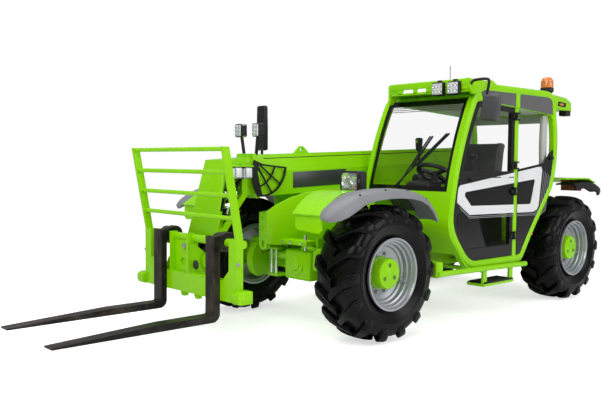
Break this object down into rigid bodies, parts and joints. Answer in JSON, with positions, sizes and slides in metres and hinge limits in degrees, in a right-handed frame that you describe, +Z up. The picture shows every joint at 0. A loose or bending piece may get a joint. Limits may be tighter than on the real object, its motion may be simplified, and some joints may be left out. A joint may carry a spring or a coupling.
{
  "type": "telehandler",
  "caption": "Telescopic handler with a side cab, a low boom on the right, steered wheels, and a fork carriage with a load backrest.",
  "frame": {"origin": "middle of the bounding box at the ground under the wheels", "axes": "+X forward along the forks, +Y to the cab's side (left), +Z up"},
  "size_m": [5.92, 2.56, 2.2022],
  "materials": {
    "green_paint": "gloss",
    "black_paint": "satin",
    "dark_casting": "rough",
    "black_rubber": "matte",
    "grey_plastic": "satin",
    "black_plastic": "matte",
    "tinted_glass": "polished",
    "clear_lens": "polished",
    "red_lens": "gloss",
    "amber_lens": "gloss",
    "chrome_rod": "polished",
    "seat_fabric": "matte",
    "tyre_rubber": "matte",
    "rim_silver": "satin"
  },
  "bodies": {
    "chassis": {"beacon": "amber_lens", "cab_floor": "black_plastic", "cab_frame": "green_paint", "cab_roof": "green_paint", "cab_step": "green_paint", "cab_windows": "tinted_glass", "chassis_frame": "green_paint", "chassis_nose": "green_paint", "counterweight": "green_paint", "dash_console": "black_plastic", "door_hinges": "black_paint", "engine_block": "dark_casting", "engine_housing": "green_paint", "front_axle": "green_paint", "front_fenders": "green_paint", "front_flares": "grey_plastic", "lamp_housings": "black_plastic", "lamp_lenses": "clear_lens", "mirrors": "black_paint", "rear_axle": "green_paint", "rear_fenders": "green_paint", "rear_flaps": "black_rubber", "seat": "seat_fabric", "steering_wheel": "black_plastic", "tail_lamps": "red_lens", "windscreen": "tinted_glass"},
    "hood": {"engine_hood": "green_paint"},
    "door_upper": {"door_upper": "black_paint", "door_upper_glass": "tinted_glass"},
    "door_lower": {"door_lower": "black_paint", "door_lower_glass": "tinted_glass"},
    "boom": {"boom_outer": "green_paint", "boom_ears": "green_paint", "boom_lamps": "black_paint", "boom_guard": "black_paint"},
    "telescope": {"boom_inner": "green_paint", "boom_head": "green_paint", "head_lamps": "black_plastic"},
    "carriage": {"coupler": "green_paint", "fork_carriage": "green_paint", "backrest": "green_paint", "forks": "black_paint"},
    "lift_barrel": {"lift_barrel": "green_paint"},
    "lift_rod": {"lift_rod": "chrome_rod"},
    "tilt_barrel": {"tilt_barrel": "green_paint"},
    "tilt_rod": {"tilt_rod": "chrome_rod"},
    "steer_front_left": {"knuckle_front_left": "green_paint"},
    "wheel_front_left": {"wheel_front_left": "rim_silver", "tyre_front_left": "tyre_rubber"},
    "steer_front_right": {"knuckle_front_right": "green_paint"},
    "wheel_front_right": {"wheel_front_right": "rim_silver", "tyre_front_right": "tyre_rubber"},
    "steer_rear_left": {"knuckle_rear_left": "green_paint"},
    "wheel_rear_left": {"wheel_rear_left": "rim_silver", "tyre_rear_left": "tyre_rubber"},
    "steer_rear_right": {"knuckle_rear_right": "green_paint"},
    "wheel_rear_right": {"wheel_rear_right": "rim_silver", "tyre_rear_right": "tyre_rubber"}
  },
  "joints": [
    {"name": "boom_lift", "type": "hinge", "parent": "chassis", "child": "boom", "pos_m": [-2.415, -0.215, 1.43], "axis": [0, -1, 0], "range_deg": [-2, 62]},
    {"name": "boom_extend", "type": "slide", "parent": "boom", "child": "telescope", "axis": [0.9991, 0, -0.0419], "range_m": [0, 2.2]},
    {"name": "carriage_tilt", "type": "hinge", "parent": "telescope", "child": "carriage", "pos_m": [1.52, -0.15, 0.61], "axis": [0, 1, 0], "range_deg": [-12, 100]},
    {"name": "lift_barrel_swing", "type": "hinge", "parent": "chassis", "child": "lift_barrel", "pos_m": [-2.105, -0.215, 0.72], "axis": [0, -1, 0], "range_deg": [-2.19, 52.74]},
    {"name": "lift_rod_slide", "type": "slide", "parent": "lift_barrel", "child": "lift_rod", "axis": [0.947, 0, 0.3213], "range_m": [-0.0268, 0.7713]},
    {"name": "tilt_barrel_swing", "type": "hinge", "parent": "telescope", "child": "tilt_barrel", "pos_m": [1.231, -0.15, 1.211], "axis": [0, -1, 0], "range_deg": [-1.07, 5.26]},
    {"name": "tilt_rod_slide", "type": "slide", "parent": "tilt_barrel", "child": "tilt_rod", "axis": [0.3149, 0, -0.9491], "range_m": [-0.1281, 0.0171]},
    {"name": "door_upper_swing", "type": "hinge", "parent": "chassis", "child": "door_upper", "pos_m": [-1.231, 0.968, 1.595], "axis": [0, 0, 1], "range_deg": [0, 160]},
    {"name": "door_lower_swing", "type": "hinge", "parent": "chassis", "child": "door_lower", "pos_m": [-1.231, 0.968, 0.925], "axis": [0, 0, 1], "range_deg": [0, 95]},
    {"name": "hood_lift", "type": "hinge", "parent": "chassis", "child": "hood", "pos_m": [-0.905, -0.43, 1.262], "axis": [-1, 0, 0], "range_deg": [0, 60]},
    {"name": "steer_front_left", "type": "hinge", "parent": "chassis", "child": "steer_front_left", "pos_m": [0.535, 0.61, 0.53], "axis": [0, 0, 1], "range_deg": [-32, 32]},
    {"name": "roll_front_left", "type": "hinge", "parent": "steer_front_left", "child": "wheel_front_left", "pos_m": [0.535, 0.83, 0.53], "axis": [0, 1, 0], "continuous": true},
    {"name": "steer_front_right", "type": "hinge", "parent": "chassis", "child": "steer_front_right", "pos_m": [0.535, -0.61, 0.53], "axis": [0, 0, 1], "range_deg": [-32, 32]},
    {"name": "roll_front_right", "type": "hinge", "parent": "steer_front_right", "child": "wheel_front_right", "pos_m": [0.535, -0.83, 0.53], "axis": [0, 1, 0], "continuous": true},
    {"name": "steer_rear_left", "type": "hinge", "parent": "chassis", "child": "steer_rear_left", "pos_m": [-2.325, 0.61, 0.53], "axis": [0, 0, 1], "range_deg": [-32, 32]},
    {"name": "roll_rear_left", "type": "hinge", "parent": "steer_rear_left", "child": "wheel_rear_left", "pos_m": [-2.325, 0.83, 0.53], "axis": [0, 1, 0], "continuous": true},
    {"name": "steer_rear_right", "type": "hinge", "parent": "chassis", "child": "steer_rear_right", "pos_m": [-2.325, -0.61, 0.53], "axis": [0, 0, 1], "range_deg": [-32, 32]},
    {"name": "roll_rear_right", "type": "hinge", "parent": "steer_rear_right", "child": "wheel_rear_right", "pos_m": [-2.325, -0.83, 0.53], "axis": [0, 1, 0], "continuous": true}
  ],
  "couplings": [
    {"joint": "lift_barrel_swing", "follows": "boom_lift", "ratio": 0.84258},
    {"joint": "lift_rod_slide", "follows": "boom_lift", "m_per_rad": 0.71091},
    {"joint": "tilt_barrel_swing", "follows": "carriage_tilt", "ratio": 0.0476},
    {"joint": "tilt_rod_slide", "follows": "carriage_tilt", "m_per_rad": -0.072276},
    {"joint": "steer_front_right", "follows": "steer_front_left", "ratio": 1},
    {"joint": "steer_rear_left", "follows": "steer_front_left", "ratio": -1},
    {"joint": "steer_rear_right", "follows": "steer_front_left", "ratio": -1}
  ]
}
